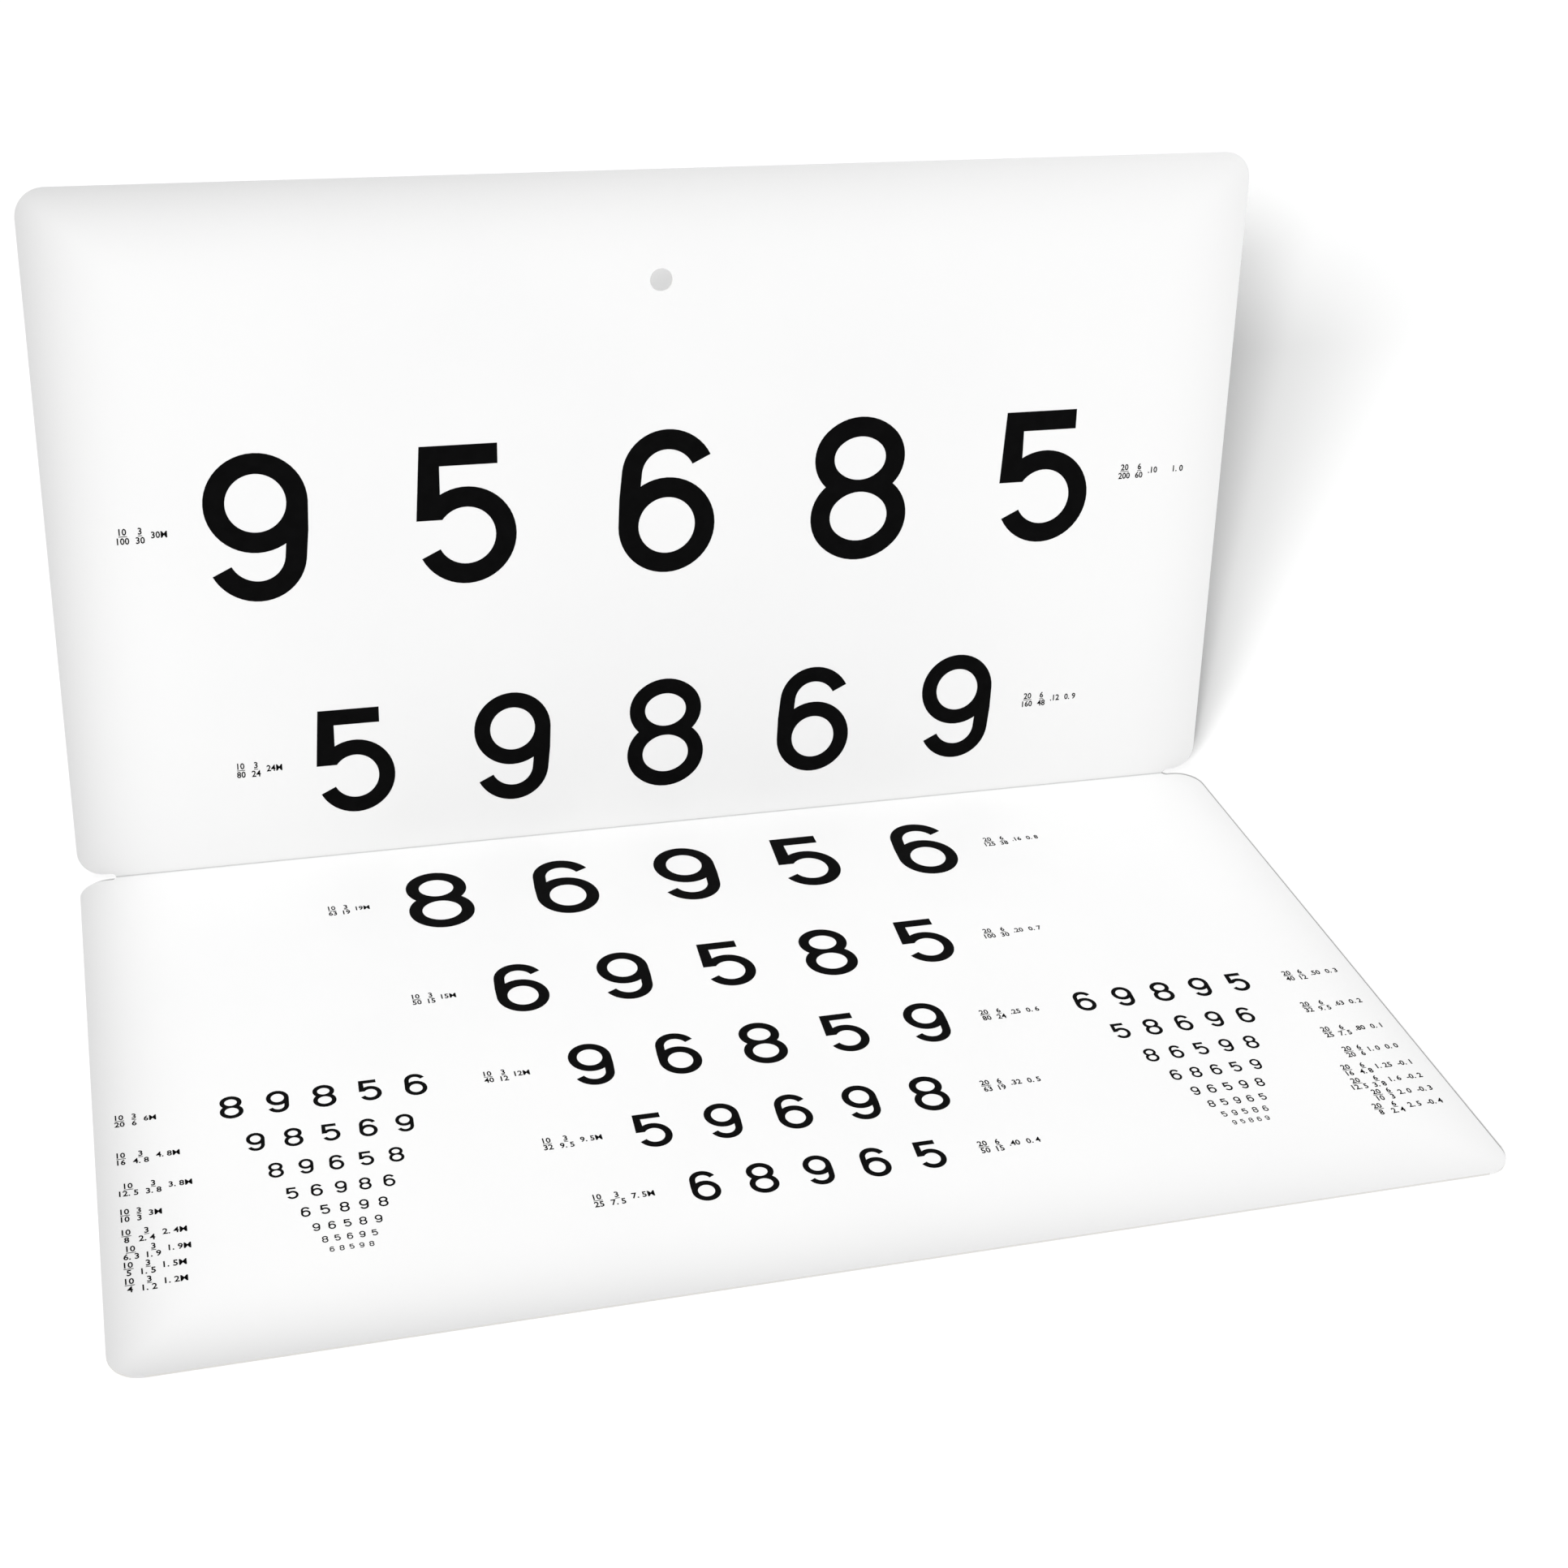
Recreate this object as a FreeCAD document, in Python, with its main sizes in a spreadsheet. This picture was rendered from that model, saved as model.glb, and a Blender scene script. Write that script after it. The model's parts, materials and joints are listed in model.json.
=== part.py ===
# Folding visual acuity chart: one printed plastic sheet with a scored fold across its middle.
# The lower panel lies flat, and the upper panel stands on the fold and leans back.
# Lengths are millimetres and angles are degrees. X runs along the width, Y to the back, Z up.
# The origin is the middle of the lower panel's underside.

import FreeCAD, Part
import math
import os
import Sketcher
from FreeCAD import Placement, Rotation, Vector

SIZES = {
    "sheet_thickness": 0.8,
    "lean_angle": 8.1,
    "score_radius": 0.4,
    "corner_radius": 10.5,
    "slot_width": 3.2,
    "slot_depth": 13.5,
    "slot_corner_radius": 10.0,
    "hole_diameter": 8.5,
    "hole_from_top": 40.2,
    "hole_offset": 4.0,
    "ink_thickness": 0.06,
    "print_offset": 1.4,
    "letter_height": 56.7,
    "row_ratio": 0.7943,
    "row_gap": 0.99,
    "digit_pitch": 1.36,
    "side_margin": 56.8,
    "upper_fold_margin": 16.8,
    "lower_fold_margin": 19.4,
    "foot_margin": 39.3,
}

# Digits of the large rows, from the top down. Each row is row_ratio times as high as the one above it.
UPPER_ROWS = ("95685", "59869")
LOWER_ROWS = ("86956", "69585", "96859", "59698", "68965")
ROW_LENGTH = 5

# Proportions of the numerals, as shares of the height of a 6 or a 9. The tail of a 9 ends
# TAIL_OPENING of the way down from the bowl to the foot, whose radius is BACK_FOOT_SHARE of the
# bowl's. A bowl has STEPS_PER_TURN straight sides, and wider arcs have sides of equal bulge.
STROKE = 0.138
BOWL_RADIUS = 0.334
TAIL_OPENING = 0.616
BACK_FOOT_SHARE = 0.93
FIVE_TAIL_ANGLE = 206
FIVE_HEIGHT = 0.952
FIVE_STEM_LEFT = 0.33
FIVE_STEM_RIGHT = 0.17
FIVE_STEM_SLANT = 0.03
FIVE_STEM_FOOT = 0.115
FIVE_FLAG_RIGHT = 0.215
# The two loops of the 8: height of the centre, half width and half height.
EIGHT_LOOPS = ((0.218, 0.322, 0.291), (-0.196, 0.344, 0.313))
EIGHT_SIDE_ROUNDING = 0.7
STEPS_PER_TURN = 24

LEAN_TURN = "90 - sizes.lean_angle"

# The numbers that a sketch gives to the points of an edge.
START, END, CENTRE = 1, 2, 3


def row_height(row):
    """Letter height of a row, counted from 0 at the top of the chart, as an expression."""
    return f"sizes.letter_height * sizes.row_ratio ^ {row}"


def rows_length(rows):
    """Height of a block of rows, each gap being a share of the row under it, as an expression."""
    first, *others = rows
    terms = [row_height(first)]
    terms += [f"(1 + sizes.row_gap) * {row_height(row)}" for row in others]
    return " + ".join(terms)


LOWER_ROW_NUMBERS = range(len(UPPER_ROWS), len(UPPER_ROWS) + len(LOWER_ROWS))
PANEL_LENGTH = f"(sizes.lower_fold_margin + {rows_length(LOWER_ROW_NUMBERS)} + sizes.foot_margin)"
DIGIT_WIDTH = 2 * BOWL_RADIUS
ROW_WIDTH = f"sizes.letter_height * ({ROW_LENGTH - 1} * sizes.digit_pitch + {DIGIT_WIDTH})"
HALF_WIDTH = f"(sizes.side_margin + {ROW_WIDTH} / 2)"


def make_spreadsheet(doc):
    """The driving dimensions, one named cell each."""
    sheet = doc.addObject("Spreadsheet::Sheet", "sizes")
    for line, (name, value) in enumerate(SIZES.items(), start=1):
        sheet.set(f"A{line}", name)
        sheet.set(f"B{line}", str(value))
        sheet.setAlias(f"B{line}", name)
    doc.recompute()
    return sheet


def origin_plane(body, role):
    return next(item for item in body.Origin.OriginFeatures if item.Role == role)


def new_sketch(body, name, role):
    sketch = body.newObject("Sketcher::SketchObject", name)
    sketch.AttachmentSupport = (origin_plane(body, role), [""])
    sketch.MapMode = "FlatFace"
    return sketch


def add_outline(sketch, edges, smooth=()):
    """Adds the edges of a closed outline and joins each one's end to the next one's start.

    An edge is its geometry with the point numbers of its start and its end. Where its place is
    in smooth, the next edge goes on in the same direction.
    """
    numbers = [sketch.addGeometry(geometry, False) for geometry, start, end in edges]
    for place, (geometry, start, end) in enumerate(edges):
        following = (place + 1) % len(edges)
        kind = "Tangent" if place in smooth else "Coincident"
        sketch.addConstraint(Sketcher.Constraint(
            kind, numbers[place], end, numbers[following], edges[following][1]))
    return numbers


def line(x1, y1, x2, y2):
    return Part.LineSegment(Vector(x1, y1, 0), Vector(x2, y2, 0)), START, END


def arc(x, y, radius, start, end):
    """An anticlockwise arc, given by its centre and its end angles in degrees."""
    circle = Part.Circle(Vector(x, y, 0), Vector(0, 0, 1), radius)
    return Part.ArcOfCircle(circle, math.radians(start), math.radians(end)), START, END


def reversed_edge(edge):
    geometry, start, end = edge
    return geometry, end, start


def bind(sketch, name, expression, kind, *places):
    """Adds a named size to the sketch and ties it to the spreadsheet."""
    number = sketch.addConstraint(Sketcher.Constraint(kind, *places))
    sketch.renameConstraint(number, name)
    sketch.setExpression(f"Constraints.{name}", expression)


def make_folded_strip(body, sizes, panel):
    """The sheet's folded section, lower panel, score and upper panel, pulled out over the width."""
    wall = sizes.sheet_thickness
    score = sizes.score_radius
    lean = math.radians(sizes.lean_angle)
    along = Vector(math.sin(lean), math.cos(lean), 0)
    behind = Vector(math.cos(lean), -math.sin(lean), 0)
    corner = Vector(0, wall, 0)
    turn = 90 - sizes.lean_angle
    front_low = corner + along * score
    front_top = corner + along * panel
    back_top = front_top + behind * wall
    back_low = corner + behind * wall

    sketch = new_sketch(body, "folded_section", "YZ_Plane")
    edges = [
        line(-panel, wall, -score, wall),
        arc(0, wall, score, 180, 360 + turn),
        line(front_low.x, front_low.y, front_top.x, front_top.y),
        line(front_top.x, front_top.y, back_top.x, back_top.y),
        line(back_top.x, back_top.y, back_low.x, back_low.y),
        reversed_edge(arc(0, wall, wall, 270, 360 - sizes.lean_angle)),
        line(0, 0, -panel, 0),
        line(-panel, 0, -panel, wall),
    ]
    top, groove, front, top_edge, back, bend, under, front_edge = add_outline(sketch, edges, smooth=(4, 5))
    for constraint in (
        ("Coincident", groove, CENTRE, bend, CENTRE),
        ("PointOnObject", groove, CENTRE, -2),
        ("PointOnObject", groove, CENTRE, top),
        ("PointOnObject", groove, CENTRE, front),
        ("Horizontal", top),
        ("Horizontal", under),
        ("Vertical", front_edge),
        ("Parallel", back, front),
        ("Perpendicular", top_edge, front),
        ("PointOnObject", under, START, -1),
    ):
        sketch.addConstraint(Sketcher.Constraint(*constraint))
    bind(sketch, "score", "sizes.score_radius", "Radius", groove, score)
    bind(sketch, "wall", "sizes.sheet_thickness", "DistanceY", front_edge, START, front_edge, END, wall)
    bind(sketch, "turn", f"({LEAN_TURN}) * 1 deg", "Angle", front, math.radians(turn))
    bind(sketch, "lower_panel", PANEL_LENGTH, "DistanceX", front_edge, END, groove, CENTRE, panel)
    bind(sketch, "upper_panel", PANEL_LENGTH, "Distance", groove, CENTRE, front, END, panel)

    pad = body.newObject("PartDesign::Pad", "folded_strip")
    pad.Profile = sketch
    pad.Midplane = True
    pad.setExpression("Length", f"2 * {HALF_WIDTH}")
    return pad


def tilt_to_panel(sketch, upright):
    """Puts a sketch on the lower panel's top face, or on the upper panel's front face.

    In both, the sketch's origin is the middle of the fold and its Y axis runs up the chart.
    """
    if upright:
        sketch.AttachmentOffset = Placement(Vector(), Rotation(Vector(1, 0, 0), 0))
        sketch.setExpression("AttachmentOffset.Rotation.Angle", "-sizes.lean_angle * 1 deg")
        sketch.setExpression("AttachmentOffset.Base.y", "sizes.sheet_thickness")
    else:
        sketch.setExpression("AttachmentOffset.Base.z", "sizes.sheet_thickness")


def make_slot(body, name, sizes, half_width, upright):
    """Cuts the round-ended slot at the right end of the fold through one of the panels."""
    half = sizes.slot_width / 2
    inner = half_width - sizes.slot_depth + half
    outer = half_width + sizes.slot_width

    sketch = new_sketch(body, f"{name}_outline", "XZ_Plane" if upright else "XY_Plane")
    tilt_to_panel(sketch, upright)
    edges = [
        line(outer, -half, outer, half),
        line(outer, half, inner, half),
        arc(inner, 0, half, 90, 270),
        line(inner, -half, outer, -half),
    ]
    mouth, upper_side, end, lower_side = add_outline(sketch, edges, smooth=(1, 2))
    for constraint in (
        ("Vertical", mouth),
        ("Horizontal", upper_side),
        ("Horizontal", lower_side),
        ("PointOnObject", end, CENTRE, -1),
    ):
        sketch.addConstraint(Sketcher.Constraint(*constraint))
    bind(sketch, "end_radius", "sizes.slot_width / 2", "Radius", end, half)
    bind(sketch, "inner", f"{HALF_WIDTH} - sizes.slot_depth + sizes.slot_width / 2", "DistanceX",
         -1, START, end, CENTRE, inner)
    bind(sketch, "outer", f"{HALF_WIDTH} + sizes.slot_width", "DistanceX", -1, START, mouth, START, outer)

    pocket = body.newObject("PartDesign::Pocket", name)
    pocket.Profile = sketch
    pocket.Type = "ThroughAll"
    return pocket


def mirror_slot(body, cuts):
    """Repeats the right-hand slot at the left end of the fold."""
    mirror = body.newObject("PartDesign::Mirrored", "left_slot")
    mirror.Originals = cuts
    mirror.MirrorPlane = (origin_plane(body, "YZ_Plane"), [""])
    body.Tip = mirror
    return mirror


def panel_corners(shape, sizes, half_width, near_fold):
    """Names of the short edges through the sheet at its ends, near the fold or away from it."""
    fold_zone = sizes.slot_width
    fold_corner = Vector(0, 0, sizes.sheet_thickness)
    names = []
    for number, edge in enumerate(shape.Edges, start=1):
        middle = edge.CenterOfMass
        at_side = abs(abs(middle.x) - half_width) < 0.01
        across = abs(edge.Length - sizes.sheet_thickness) < 0.01
        from_fold = (Vector(0, middle.y, middle.z) - fold_corner).Length
        if at_side and across and (from_fold < fold_zone) == near_fold:
            names.append(f"Edge{number}")
    return names


def round_corners(body, name, base, edges, radius):
    fillet = body.newObject("PartDesign::Fillet", name)
    fillet.Base = (base, edges)
    fillet.setExpression("Radius", radius)
    return fillet


def make_hanging_hole(body, sizes, panel):
    """The round hole near the top edge of the upper panel."""
    sketch = new_sketch(body, "hole_outline", "XZ_Plane")
    tilt_to_panel(sketch, True)
    radius = sizes.hole_diameter / 2
    across = -sizes.hole_offset
    up = panel - sizes.hole_from_top
    hole = sketch.addGeometry(Part.Circle(Vector(across, up, 0), Vector(0, 0, 1), radius), False)
    bind(sketch, "radius", "sizes.hole_diameter / 2", "Radius", hole, radius)
    bind(sketch, "across", "sizes.hole_offset", "DistanceX", hole, CENTRE, -1, START, -across)
    bind(sketch, "up", f"{PANEL_LENGTH} - sizes.hole_from_top", "DistanceY", -1, START, hole, CENTRE, up)
    pocket = body.newObject("PartDesign::Pocket", "hanging_hole")
    pocket.Profile = sketch
    pocket.Type = "ThroughAll"
    return pocket


def make_chart_sheet(doc, sizes):
    """The folded plastic sheet, in one piece."""
    body = doc.addObject("PartDesign::Body", "chart_sheet")
    body.Label = "chart_sheet"
    heights = [sizes.letter_height * sizes.row_ratio ** row for row in LOWER_ROW_NUMBERS]
    panel = sizes.lower_fold_margin + heights[0] + (1 + sizes.row_gap) * sum(heights[1:]) + sizes.foot_margin
    row_width = sizes.letter_height * ((ROW_LENGTH - 1) * sizes.digit_pitch + DIGIT_WIDTH)
    half_width = sizes.side_margin + row_width / 2

    make_folded_strip(body, sizes, panel)
    cuts = [
        make_slot(body, "lower_slot", sizes, half_width, upright=False),
        make_slot(body, "upper_slot", sizes, half_width, upright=True),
    ]
    slotted = mirror_slot(body, cuts)
    doc.recompute()
    outer_edges = panel_corners(slotted.Shape, sizes, half_width, near_fold=False)
    corners = round_corners(body, "outer_corners", slotted, outer_edges, "sizes.corner_radius")
    doc.recompute()
    fold_edges = panel_corners(corners.Shape, sizes, half_width, near_fold=True)
    round_corners(body, "fold_corners", corners, fold_edges,
                  "min(sizes.slot_corner_radius; sizes.slot_depth - sizes.slot_width)")
    make_hanging_hole(body, sizes, panel)
    body.setExpression("Placement.Base.y", f"{PANEL_LENGTH} / 2")
    doc.recompute()
    return body


def polar(x, y, radius, angle):
    """The point at an angle, in degrees, on a circle."""
    turn = math.radians(angle)
    return Vector(x + radius * math.cos(turn), y + radius * math.sin(turn), 0)


def curve(x, y, radius, start, end):
    """Points along an arc, from its start angle up to, and without, its end."""
    steps = math.ceil(abs(end - start) / 360 * STEPS_PER_TURN * math.sqrt(radius / BOWL_RADIUS))
    return [polar(x, y, radius, start + (end - start) * step / steps) for step in range(steps)]


def filled(points):
    """The flat face inside a closed outline."""
    return Part.Face(Part.makePolygon(points + points[:1]))


def oval(y, half_width, half_height, inset=0):
    """A wide oval of four arcs, or the one that lies inset inside it."""
    side = half_height - EIGHT_SIDE_ROUNDING * (half_width - half_height)
    cap = (half_width ** 2 + half_height ** 2 - 2 * half_width * side) / (2 * (half_height - side))
    out = half_width - side
    down = cap - half_height
    meet = math.degrees(math.atan2(down, out))
    return filled(
        curve(out, y, side - inset, -meet, meet)
        + curve(0, y - down, cap - inset, meet, 180 - meet)
        + curve(-out, y, side - inset, 180 - meet, 180 + meet)
        + curve(0, y + down, cap - inset, 180 + meet, 360 - meet))


def numeral_nine():
    """A round bowl with a curved back that ends in a tail."""
    hole_radius = BOWL_RADIUS - STROKE
    bowl = 0.5 - BOWL_RADIUS
    tail = BOWL_RADIUS - 0.5
    foot_radius = BACK_FOOT_SHARE * BOWL_RADIUS
    foot = foot_radius - 0.5
    drop = bowl - foot
    back_radius = (BOWL_RADIUS ** 2 + drop ** 2 - foot_radius ** 2) / (2 * (BOWL_RADIUS - foot_radius))
    back = BOWL_RADIUS - back_radius
    heel_angle = math.degrees(math.atan2(-drop, -back))
    # The tail's inner corner lies at this distance from the middle of the bowl.
    spacing = bowl - tail
    reach = BOWL_RADIUS + TAIL_OPENING * (spacing + hole_radius - BOWL_RADIUS)
    rise = (hole_radius ** 2 + spacing ** 2 - reach ** 2) / (2 * hole_radius * spacing)
    tail_angle = 180 - math.degrees(math.asin(rise))
    back_stroke = filled(
        curve(0, tail, BOWL_RADIUS, tail_angle, 270)
        + curve(0, foot, foot_radius, -90, heel_angle)
        + curve(back, bowl, back_radius, heel_angle, 0)
        + [Vector(BOWL_RADIUS, bowl, 0)]
        + curve(back, bowl, back_radius - STROKE, 0, heel_angle)
        + curve(0, foot, foot_radius - STROKE, heel_angle, -90)
        + curve(0, tail, hole_radius, 270, tail_angle)
        + [polar(0, tail, hole_radius, tail_angle)])
    disc = filled(curve(0, bowl, BOWL_RADIUS, 0, 360))
    hole = filled(curve(0, bowl, hole_radius, 0, 360))
    return disc.fuse(back_stroke).removeSplitter().cut(hole)


def numeral_six():
    six = numeral_nine()
    six.rotate(Vector(), Vector(0, 0, 1), 180)
    return six


def numeral_five():
    """A flag and a straight stem on a round bowl that is open at the left."""
    hole_radius = BOWL_RADIUS - STROKE
    top = FIVE_HEIGHT / 2
    bowl = BOWL_RADIUS - top
    join_angle = 180 - math.degrees(math.acos(FIVE_STEM_RIGHT / BOWL_RADIUS))
    foot_angle = 180 - math.degrees(math.asin(FIVE_STEM_FOOT / hole_radius))
    tail_angle = FIVE_TAIL_ANGLE - 360
    return filled(
        [
            Vector(-FIVE_STEM_LEFT, bowl + FIVE_STEM_FOOT, 0),
            Vector(-FIVE_STEM_LEFT + FIVE_STEM_SLANT, top, 0),
            Vector(FIVE_FLAG_RIGHT, top, 0),
            Vector(FIVE_FLAG_RIGHT, top - STROKE, 0),
            Vector(-FIVE_STEM_RIGHT, top - STROKE, 0),
        ]
        + curve(0, bowl, BOWL_RADIUS, join_angle, tail_angle)
        + [polar(0, bowl, BOWL_RADIUS, tail_angle)]
        + curve(0, bowl, hole_radius, tail_angle, foot_angle)
        + [polar(0, bowl, hole_radius, foot_angle)])


def numeral_eight():
    """Two joined loops, the lower one a little larger."""
    upper, lower = (oval(*loop) for loop in EIGHT_LOOPS)
    holes = [oval(*loop, inset=STROKE) for loop in EIGHT_LOOPS]
    return upper.fuse(lower).removeSplitter().cut(holes)


def make_print(doc, name, rows, first_row, margin, sizes):
    """The rows of digits on one panel, as thin raised ink.

    Rows are stacked away from the fold: up from the last row on the upper panel, and down from
    the first row on the lower one.
    """
    numerals = {"5": numeral_five(), "6": numeral_six(), "8": numeral_eight(), "9": numeral_nine()}
    upright = first_row == 0
    toward = 1 if upright else -1
    numbered = list(enumerate(rows, start=first_row))
    edge = margin
    previous = None
    solids = []
    for number, digits in (reversed(numbered) if upright else numbered):
        height = sizes.letter_height * sizes.row_ratio ** number
        if previous is not None:
            edge += sizes.row_gap * min(height, previous)
        for place, digit in enumerate(digits):
            across = (place - (ROW_LENGTH - 1) / 2) * sizes.digit_pitch * height - sizes.print_offset
            solid = numerals[digit].scaled(height).extrude(Vector(0, 0, sizes.ink_thickness))
            solid.translate(Vector(across, toward * (edge + height / 2), 0))
            solids.append(solid)
        edge += height
        previous = height
    ink = doc.addObject("Part::Feature", name)
    ink.Label = name
    ink.Shape = Part.makeCompound(solids)
    ink.Placement = Placement(Vector(), Rotation(Vector(1, 0, 0), 1))
    ink.setExpression("Placement.Rotation.Angle", f"({LEAN_TURN}) * 1 deg" if upright else "0 deg")
    ink.setExpression("Placement.Base.y", f"{PANEL_LENGTH} / 2")
    ink.setExpression("Placement.Base.z", "sizes.sheet_thickness")
    return ink


def check_document(doc, parts):
    for item in doc.Objects:
        if "Invalid" in item.State or "Error" in item.State:
            raise RuntimeError(f"{item.Name} failed: {item.State}")
    for part in parts:
        if part.Shape.isNull() or not part.Shape.isValid():
            raise RuntimeError(f"{part.Label} has no valid shape")


def main():
    doc = FreeCAD.newDocument("acuity_chart")
    sizes = make_spreadsheet(doc)
    upper_count = len(UPPER_ROWS)
    parts = [
        make_chart_sheet(doc, sizes),
        make_print(doc, "upper_digits", UPPER_ROWS, 0, sizes.upper_fold_margin, sizes),
        make_print(doc, "lower_digits", LOWER_ROWS, upper_count, sizes.lower_fold_margin, sizes),
    ]
    doc.recompute()
    check_document(doc, parts)
    os.makedirs("parts", exist_ok=True)
    for part in parts:
        shape = part.Shape
        shape.exportStep(f"parts/{part.Label}.step")
        box = shape.BoundBox
        corners = (box.XMin, box.YMin, box.ZMin, box.XMax, box.YMax, box.ZMax)
        print(part.Label, "solids", len(shape.Solids), "volume", round(shape.Volume, 1),
              "box", [round(value, 2) for value in corners])


main()
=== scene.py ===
# Folding visual acuity chart: its printed rows and notes, sheet and ink finishes, table top,
# lamps and camera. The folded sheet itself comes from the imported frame.
# Lengths are metres and angles are degrees, and the origin is the middle of the lower panel's
# underside. Chart coordinates are x along a row and s up the chart from the fold.

import json
import math

import bmesh
import bpy
from bpy.props import FloatProperty, FloatVectorProperty, IntProperty, PointerProperty
from mathutils import Matrix, Vector


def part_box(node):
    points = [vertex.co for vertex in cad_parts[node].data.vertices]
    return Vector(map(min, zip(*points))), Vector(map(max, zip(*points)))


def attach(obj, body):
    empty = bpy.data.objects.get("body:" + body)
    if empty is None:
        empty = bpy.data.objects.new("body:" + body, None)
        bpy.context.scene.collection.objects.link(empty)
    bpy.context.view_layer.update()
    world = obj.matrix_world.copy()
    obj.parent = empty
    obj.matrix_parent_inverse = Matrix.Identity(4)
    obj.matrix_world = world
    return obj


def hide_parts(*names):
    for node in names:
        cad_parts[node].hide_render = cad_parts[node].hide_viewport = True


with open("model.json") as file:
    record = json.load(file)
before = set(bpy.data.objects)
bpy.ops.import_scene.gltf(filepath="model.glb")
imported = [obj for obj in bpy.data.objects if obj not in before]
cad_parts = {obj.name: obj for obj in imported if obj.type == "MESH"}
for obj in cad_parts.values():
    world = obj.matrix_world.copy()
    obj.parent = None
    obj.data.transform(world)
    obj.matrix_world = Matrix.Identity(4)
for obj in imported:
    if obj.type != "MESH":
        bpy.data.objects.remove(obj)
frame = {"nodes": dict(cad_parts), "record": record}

bl_info = {
    "name": "Visual Acuity Chart",
    "version": (1, 0, 0),
    "blender": (4, 5, 0),
    "location": "View3D > Sidebar > Acuity Chart",
    "description": "Prints, finishes and lights a folding visual acuity chart",
    "category": "Object",
}

SHEET_LOW, SHEET_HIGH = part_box("chart_sheet")
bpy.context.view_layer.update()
FOLD_Y = -SHEET_LOW.y
HALF_WIDTH = SHEET_HIGH.x

# Digits of every row, from the largest down. The first rows stand on the upper panel, the next
# ones in the middle of the lower panel, and the smallest ones in two blocks beside them.
UPPER_ROWS = ("95685", "59869")
LOWER_ROWS = ("86956", "69585", "96859", "59698", "68965")
LEFT_BLOCK_ROWS = ("89856", "98569", "89658", "56986", "65898", "96589", "85695", "68598")
RIGHT_BLOCK_ROWS = ("69895", "58696", "86598", "68659", "96598", "85965", "59586", "95869")
FIRST_BLOCK_ROW = len(UPPER_ROWS) + len(LOWER_ROWS)

# Letter size in M units and its equivalents, row by row.
LETTER_SIZES = (
    "30", "24", "19", "15", "12", "9.5", "7.5", "6", "4.8", "3.8", "3", "2.4", "1.9", "1.5", "1.2")
TEN_FOOT_SIZES = (
    "100", "80", "63", "50", "40", "32", "25", "20", "16", "12.5", "10", "8", "6.3", "5", "4")
TWENTY_FOOT_SIZES = (
    "200", "160", "125", "100", "80", "63", "50", "40", "32", "25", "20", "16", "12.5", "10", "8")
SIX_METRE_SIZES = (
    "60", "48", "38", "30", "24", "19", "15", "12", "9.5", "7.5", "6", "4.8", "3.8", "3", "2.4")
DECIMAL_SIZES = (
    ".10", ".12", ".16", ".20", ".25", ".32", ".40", ".50", ".63", ".80", "1.0", "1.25", "1.6",
    "2.0", "2.5")
LOG_SIZES = (
    "1.0", "0.9", "0.8", "0.7", "0.6", "0.5", "0.4", "0.3", "0.2", "0.1", "0.0", "-0.1", "-0.2",
    "-0.3", "-0.4")
# Where the notes beside the large rows start, from the sheet's middle.
LEFT_NOTE_STARTS = (-0.2055, -0.1688, -0.1406, -0.1180, -0.1006, -0.0875, -0.0770)
RIGHT_NOTE_STARTS = (0.1851, 0.1502, 0.1217, 0.0991, 0.0805, 0.0667, 0.0546)

# Proportions of the numerals, as shares of the height of a 6 or a 9.
STROKE = 0.138
BOWL_RADIUS = 0.334
# Where the tails end, in degrees anticlockwise from the right of the bowl.
TAIL_ANGLE = 206
BACK_FOOT_RADIUS = 0.93 * BOWL_RADIUS
FIVE_HEIGHT = 0.952
FIVE_STEM_LEFT = 0.33
FIVE_STEM_RIGHT = 0.17
FIVE_STEM_SLANT = 0.03
FIVE_STEM_FOOT = 0.115
FIVE_FLAG_RIGHT = 0.215
# Middle, half width and half height of the upper and the lower loop.
EIGHT_LOOPS = ((0.218, 0.322, 0.291), (-0.196, 0.344, 0.313))
EIGHT_SIDE_ROUNDING = 0.7
# Points nearer than this are welded to one.
TINY = 1e-4

# Width of a note's figures as a share of the typeface's own, and how far their outline is set out.
FIGURE_WIDTH = 0.96
FIGURE_BOLDNESS = 0.018
# How far a fraction's figures sit from the line, and its bar's thickness, as shares of a figure's
# height. The bar's length is a share of the upper figure's width.
FRACTION_SHIFT = 0.67
BAR_THICKNESS = 0.09
BAR_LENGTH = 1.1
# Bare strip between the sheet's sides and the notes of the small rows.
NOTE_MARGIN = 0.0068

# Painted shade along the outer edges, in place of the darker shading there: how wide the greyed
# strip is, how its corners blend, how fast it fades inwards, and how strong it is at the left and
# the right.
EDGE_SHADE_WIDTH = 0.045
EDGE_SHADE_BLEND = 0.006
EDGE_SHADE_FADING = 3
LEFT_EDGE_SHADE_SHARE = 0.9
RIGHT_EDGE_SHADE_SHARE = 0.33
# Where the score's colour starts to fade and where it ends, from the fold, and how strong it is.
CREASE_FADE = (0.0004, 0.0022)
CREASE_SHARE = 0.06
EDGE_SHARE = 0.8
# How much paler the ink is where it lies thin.
THIN_INK = 1.6

# Middle of the table top, which reaches further behind the chart than before it.
FLOOR_MIDDLE = (0, 1.5, 0)
# How far each lamp is turned left from the front, its height above the table and how wide it
# looks, all in degrees.
KEY_LAMP = (48, 65, 22)
LOW_LAMP = (29.5, 18, 6)
LEFT_LAMP = (37, 20, 12)
# Distant lamps light the same from anywhere, so this is only where they are seen in the viewport.
LAMP_DISTANCE = 2

CAMERA_PLACE = (-0.2106, -0.6427, 0.5145)
CAMERA_DIRECTION = (0.2455, 0.8298, -0.5011)
CAMERA_ROLL = 3.35
CAMERA_LENS = 54.13
CAMERA_SHIFT = (0.0426, -0.0425)


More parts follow.
